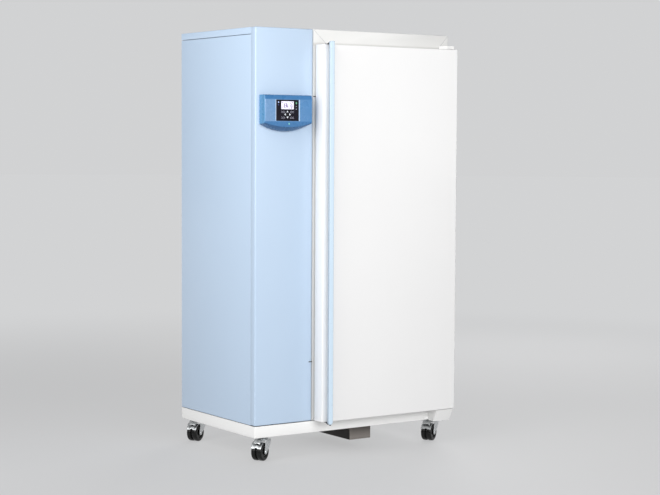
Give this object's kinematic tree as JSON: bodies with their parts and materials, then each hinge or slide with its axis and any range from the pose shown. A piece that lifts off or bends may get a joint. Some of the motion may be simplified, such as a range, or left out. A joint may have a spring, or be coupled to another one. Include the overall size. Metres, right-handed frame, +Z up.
{
  "type": "cooled laboratory incubator",
  "caption": "Tall cooled laboratory incubator: blue technical column with control panel beside an insulated chamber with a full-height door, on braked swivel castors.",
  "frame": {"origin": "on the floor under the middle of the overall box, handle included", "axes": "+Z up, front towards -Y, door hinges on the +X side, blue column on the -X side"},
  "size_m": [1.06, 0.771, 1.915],
  "materials": {
    "blue_steel": "satin",
    "white_steel": "satin",
    "stainless": "satin",
    "galvanised": "satin",
    "dark_metal": "satin",
    "mineral_wool": "matte",
    "seal": "matte",
    "glass": "polished",
    "blue_plastic": "satin",
    "black_plastic": "gloss",
    "white_plastic": "satin",
    "screen": "gloss",
    "tread": "satin",
    "circuit": "satin",
    "fin_block": "satin"
  },
  "bodies": {
    "cabinet": {"base_frame": "white_steel", "lower_hinge_console": "white_steel", "upper_hinge_bracket": "white_steel", "column_front_panel": "blue_steel", "column_left_panel": "blue_steel", "column_top_cover": "blue_steel", "column_rear_panel": "galvanised", "chamber_casing": "white_steel", "chamber_rear_panel": "galvanised", "chamber_surround": "white_steel", "inner_chamber": "stainless", "insulation": "mineral_wool", "shelf_rail_left": "stainless", "shelf_rail_right": "stainless", "rear_baffle": "stainless", "fan_motor": "dark_metal", "evaporator": "fin_block", "compressor": "dark_metal", "condenser": "fin_block", "controller_board": "circuit", "mains_inlet": "black_plastic", "control_housing": "blue_plastic", "control_fascia": "black_plastic", "display": "screen"},
    "door": {"door_skin": "white_steel", "door_liner": "white_steel", "door_insulation": "mineral_wool", "door_gasket": "seal", "handle_bar": "blue_steel", "handle_bracket_top": "dark_metal", "handle_bracket_bottom": "dark_metal", "hinge_pin_lower": "stainless", "hinge_pin_upper": "stainless"},
    "glass_door": {"glass_pane": "glass", "glass_clamp_top": "stainless", "glass_clamp_bottom": "stainless"},
    "shelf_1": {"shelf_1": "stainless"},
    "shelf_2": {"shelf_2": "stainless"},
    "shelf_3": {"shelf_3": "stainless"},
    "drip_tray": {"drip_tray": "stainless"},
    "chamber_fan": {"chamber_fan": "black_plastic"},
    "condenser_fan": {"condenser_fan": "dark_metal"},
    "mains_switch": {"mains_switch": "black_plastic"},
    "key_up": {"key_up": "white_plastic"},
    "key_down": {"key_down": "white_plastic"},
    "key_left": {"key_left": "white_plastic"},
    "key_right": {"key_right": "white_plastic"},
    "key_centre": {"key_centre": "black_plastic"},
    "castor_front_left": {"castor_front_left_fork": "galvanised"},
    "castor_front_left_wheel": {"castor_front_left_wheel": "tread"},
    "castor_front_left_pedal": {"castor_front_left_pedal": "galvanised"},
    "castor_front_right": {"castor_front_right_fork": "galvanised"},
    "castor_front_right_wheel": {"castor_front_right_wheel": "tread"},
    "castor_front_right_pedal": {"castor_front_right_pedal": "galvanised"},
    "castor_back_left": {"castor_back_left_fork": "galvanised"},
    "castor_back_left_wheel": {"castor_back_left_wheel": "tread"},
    "castor_back_left_pedal": {"castor_back_left_pedal": "galvanised"},
    "castor_back_right": {"castor_back_right_fork": "galvanised"},
    "castor_back_right_wheel": {"castor_back_right_wheel": "tread"},
    "castor_back_right_pedal": {"castor_back_right_pedal": "galvanised"}
  },
  "joints": [
    {"name": "door_hinge", "type": "hinge", "parent": "cabinet", "child": "door", "pos_m": [0.511, -0.3205, 0.16], "axis": [0, 0, 1], "range_deg": [0, 170]},
    {"name": "glass_door_hinge", "type": "hinge", "parent": "cabinet", "child": "glass_door", "pos_m": [0.426, -0.2755, 0.1593], "axis": [0, 0, 1], "range_deg": [0, 110]},
    {"name": "shelf_1_slide", "type": "slide", "parent": "cabinet", "child": "shelf_1", "axis": [0, -1, 0], "range_m": [0, 0.2]},
    {"name": "shelf_2_slide", "type": "slide", "parent": "cabinet", "child": "shelf_2", "axis": [0, -1, 0], "range_m": [0, 0.2]},
    {"name": "shelf_3_slide", "type": "slide", "parent": "cabinet", "child": "shelf_3", "axis": [0, -1, 0], "range_m": [0, 0.2]},
    {"name": "drip_tray_slide", "type": "slide", "parent": "cabinet", "child": "drip_tray", "axis": [0, -1, 0], "range_m": [0, 0.3]},
    {"name": "chamber_fan_spin", "type": "hinge", "parent": "cabinet", "child": "chamber_fan", "pos_m": [0.151, 0.2545, 1.05], "axis": [0, 1, 0], "continuous": true},
    {"name": "condenser_fan_spin", "type": "hinge", "parent": "cabinet", "child": "condenser_fan", "pos_m": [-0.38, 0.22, 0.4], "axis": [0, 1, 0], "continuous": true},
    {"name": "mains_switch_rock", "type": "hinge", "parent": "cabinet", "child": "mains_switch", "pos_m": [-0.4272, 0.3775, 0.671], "axis": [1, 0, 0], "range_deg": [0, 12]},
    {"name": "key_up_press", "type": "slide", "parent": "cabinet", "child": "key_up", "axis": [0, 1, 0], "range_m": [0, 0.0008], "stiffness_N_per_m": 400},
    {"name": "key_down_press", "type": "slide", "parent": "cabinet", "child": "key_down", "axis": [0, 1, 0], "range_m": [0, 0.0008], "stiffness_N_per_m": 400},
    {"name": "key_left_press", "type": "slide", "parent": "cabinet", "child": "key_left", "axis": [0, 1, 0], "range_m": [0, 0.0008], "stiffness_N_per_m": 400},
    {"name": "key_right_press", "type": "slide", "parent": "cabinet", "child": "key_right", "axis": [0, 1, 0], "range_m": [0, 0.0008], "stiffness_N_per_m": 400},
    {"name": "key_centre_press", "type": "slide", "parent": "cabinet", "child": "key_centre", "axis": [0, 1, 0], "range_m": [0, 0.0008], "stiffness_N_per_m": 400},
    {"name": "castor_front_left_swivel", "type": "hinge", "parent": "cabinet", "child": "castor_front_left", "pos_m": [-0.464, -0.2335, 0.1025], "axis": [0, 0, 1], "continuous": true},
    {"name": "castor_front_left_roll", "type": "hinge", "parent": "castor_front_left", "child": "castor_front_left_wheel", "pos_m": [-0.48305, -0.2445, 0.04], "axis": [0.5, -0.866, 0], "continuous": true},
    {"name": "castor_front_left_brake", "type": "hinge", "parent": "castor_front_left", "child": "castor_front_left_pedal", "pos_m": [-0.48868, -0.24775, 0.092], "axis": [0.5, -0.866, 0], "range_deg": [0, 10]},
    {"name": "castor_front_right_swivel", "type": "hinge", "parent": "cabinet", "child": "castor_front_right", "pos_m": [0.48, -0.2335, 0.1025], "axis": [0, 0, 1], "continuous": true},
    {"name": "castor_front_right_roll", "type": "hinge", "parent": "castor_front_right", "child": "castor_front_right_wheel", "pos_m": [0.46095, -0.2445, 0.04], "axis": [0.5, -0.866, 0], "continuous": true},
    {"name": "castor_front_right_brake", "type": "hinge", "parent": "castor_front_right", "child": "castor_front_right_pedal", "pos_m": [0.45532, -0.24775, 0.092], "axis": [0.5, -0.866, 0], "range_deg": [0, 10]},
    {"name": "castor_back_left_swivel", "type": "hinge", "parent": "cabinet", "child": "castor_back_left", "pos_m": [-0.464, 0.3475, 0.1025], "axis": [0, 0, 1], "continuous": true},
    {"name": "castor_back_left_roll", "type": "hinge", "parent": "castor_back_left", "child": "castor_back_left_wheel", "pos_m": [-0.48305, 0.3365, 0.04], "axis": [0.5, -0.866, 0], "continuous": true},
    {"name": "castor_back_left_brake", "type": "hinge", "parent": "castor_back_left", "child": "castor_back_left_pedal", "pos_m": [-0.48868, 0.33325, 0.092], "axis": [0.5, -0.866, 0], "range_deg": [0, 10]},
    {"name": "castor_back_right_swivel", "type": "hinge", "parent": "cabinet", "child": "castor_back_right", "pos_m": [0.48, 0.3475, 0.1025], "axis": [0, 0, 1], "continuous": true},
    {"name": "castor_back_right_roll", "type": "hinge", "parent": "castor_back_right", "child": "castor_back_right_wheel", "pos_m": [0.46095, 0.3365, 0.04], "axis": [0.5, -0.866, 0], "continuous": true},
    {"name": "castor_back_right_brake", "type": "hinge", "parent": "castor_back_right", "child": "castor_back_right_pedal", "pos_m": [0.45532, 0.33325, 0.092], "axis": [0.5, -0.866, 0], "range_deg": [0, 10]}
  ],
  "couplings": [
    {"joint": "glass_door_hinge", "follows": "door_hinge", "ratio": 0.64705},
    {"joint": "shelf_1_slide", "follows": "door_hinge", "m_per_rad": 0.0674},
    {"joint": "shelf_2_slide", "follows": "door_hinge", "m_per_rad": 0.0674},
    {"joint": "shelf_3_slide", "follows": "door_hinge", "m_per_rad": 0.0674}
  ]
}
